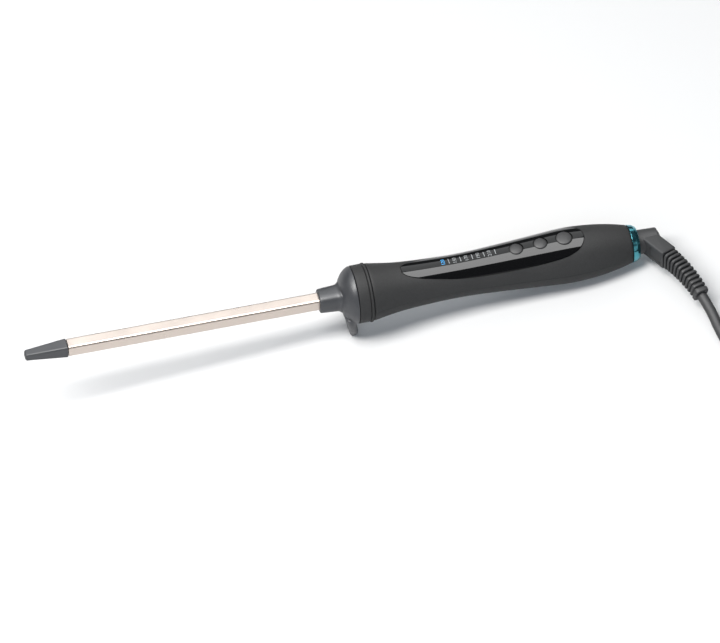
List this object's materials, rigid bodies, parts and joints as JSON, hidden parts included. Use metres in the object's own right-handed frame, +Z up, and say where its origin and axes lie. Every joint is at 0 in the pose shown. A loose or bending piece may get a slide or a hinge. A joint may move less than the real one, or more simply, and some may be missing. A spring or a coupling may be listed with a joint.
{
  "type": "curling wand",
  "caption": "Slim curling wand with a square tapered tip, rest foot, waisted handle with a glossy control panel, and a swivel mains cord wound in a coil.",
  "frame": {"origin": "on the ground under the middle of the wand, cord left out", "axes": "+X along the wand from its tip towards the cord, +Z up from the control panel, +Y to the left"},
  "size_m": [0.5115, 0.1404, 0.0507],
  "materials": {
    "soft_touch": "fine-textured soft-touch coating, matte",
    "heat_plastic": "dark grey heat-resistant plastic, satin",
    "champagne": "champagne coating, satin with a sharp highlight",
    "gloss_black": "high gloss",
    "button_plastic": "satin",
    "teal_metal": "teal metallised, bright",
    "rubber": "matte moulded rubber",
    "cord_rubber": "matte cable sheath",
    "clear": "clear light guide",
    "led": "moulded",
    "board": "solder mask",
    "component": "moulded case",
    "capacitor": "dipped case",
    "ceramic": "unglazed",
    "aluminium": "extruded",
    "brass": "turned",
    "steel": "plated",
    "wire": "glass-fibre sleeve",
    "inner_plastic": "moulded"
  },
  "bodies": {
    "cord_side": {"swivel_spool": "inner_plastic", "slip_ring_front": "brass", "slip_ring_rear": "brass", "strain_relief": "rubber", "cord_lead": "cord_rubber", "cord_coil": "cord_rubber", "cord_tail": "cord_rubber", "cord_tie": "soft_touch", "plug_body": "rubber", "plug_pin_left": "brass", "plug_pin_right": "brass"},
    "wand": {"barrel": "champagne", "barrel_holder": "inner_plastic", "board_screw_front": "steel", "board_screw_rear": "steel", "brush_contact_front": "brass", "brush_contact_rear": "brass", "circuit_board": "board", "collar_band": "soft_touch", "contact_carrier": "inner_plastic", "control_panel": "gloss_black", "film_capacitor": "capacitor", "front_cap": "heat_plastic", "fuse_lead": "wire", "heat_spreader_lower": "aluminium", "heat_spreader_upper": "aluminium", "heater_lead_direct": "wire", "heater_lead_fused": "wire", "heating_element": "ceramic", "indicator_led_1": "led", "indicator_led_2": "led", "indicator_led_3": "led", "indicator_led_4": "led", "indicator_led_5": "led", "light_guide": "clear", "lower_shell": "soft_touch", "microcontroller": "component", "minus_switch": "component", "plus_switch": "component", "power_switch": "component", "rear_ring": "teal_metal", "shell_screw_front": "steel", "shell_screw_rear": "steel", "smoothing_capacitor": "component", "supply_lead_left": "wire", "supply_lead_right": "wire", "thermal_fuse": "inner_plastic", "thermistor": "ceramic", "thermistor_lead": "wire", "tip_cap": "heat_plastic", "triac": "component", "trim_ring": "soft_touch", "upper_shell": "soft_touch", "varistor": "led"},
    "minus_button_body": {"minus_button": "button_plastic", "minus_plunger": "inner_plastic"},
    "plus_button_body": {"plus_button": "button_plastic", "plus_plunger": "inner_plastic"},
    "power_button_body": {"power_button": "button_plastic", "power_plunger": "inner_plastic"}
  },
  "joints": [
    {"name": "cord_swivel", "type": "hinge", "parent": "cord_side", "child": "wand", "pos_m": [0.0115, 0, 0.02888], "axis": [0.9945, 0, -0.1043], "continuous": true},
    {"name": "minus_press", "type": "slide", "parent": "wand", "child": "minus_button_body", "axis": [-0.1043, 0, -0.9945], "range_m": [0, 0.0008], "stiffness_N_per_m": 1500},
    {"name": "plus_press", "type": "slide", "parent": "wand", "child": "plus_button_body", "axis": [-0.1043, 0, -0.9945], "range_m": [0, 0.0008], "stiffness_N_per_m": 1500},
    {"name": "power_press", "type": "slide", "parent": "wand", "child": "power_button_body", "axis": [-0.1043, 0, -0.9945], "range_m": [0, 0.0008], "stiffness_N_per_m": 1500}
  ]
}
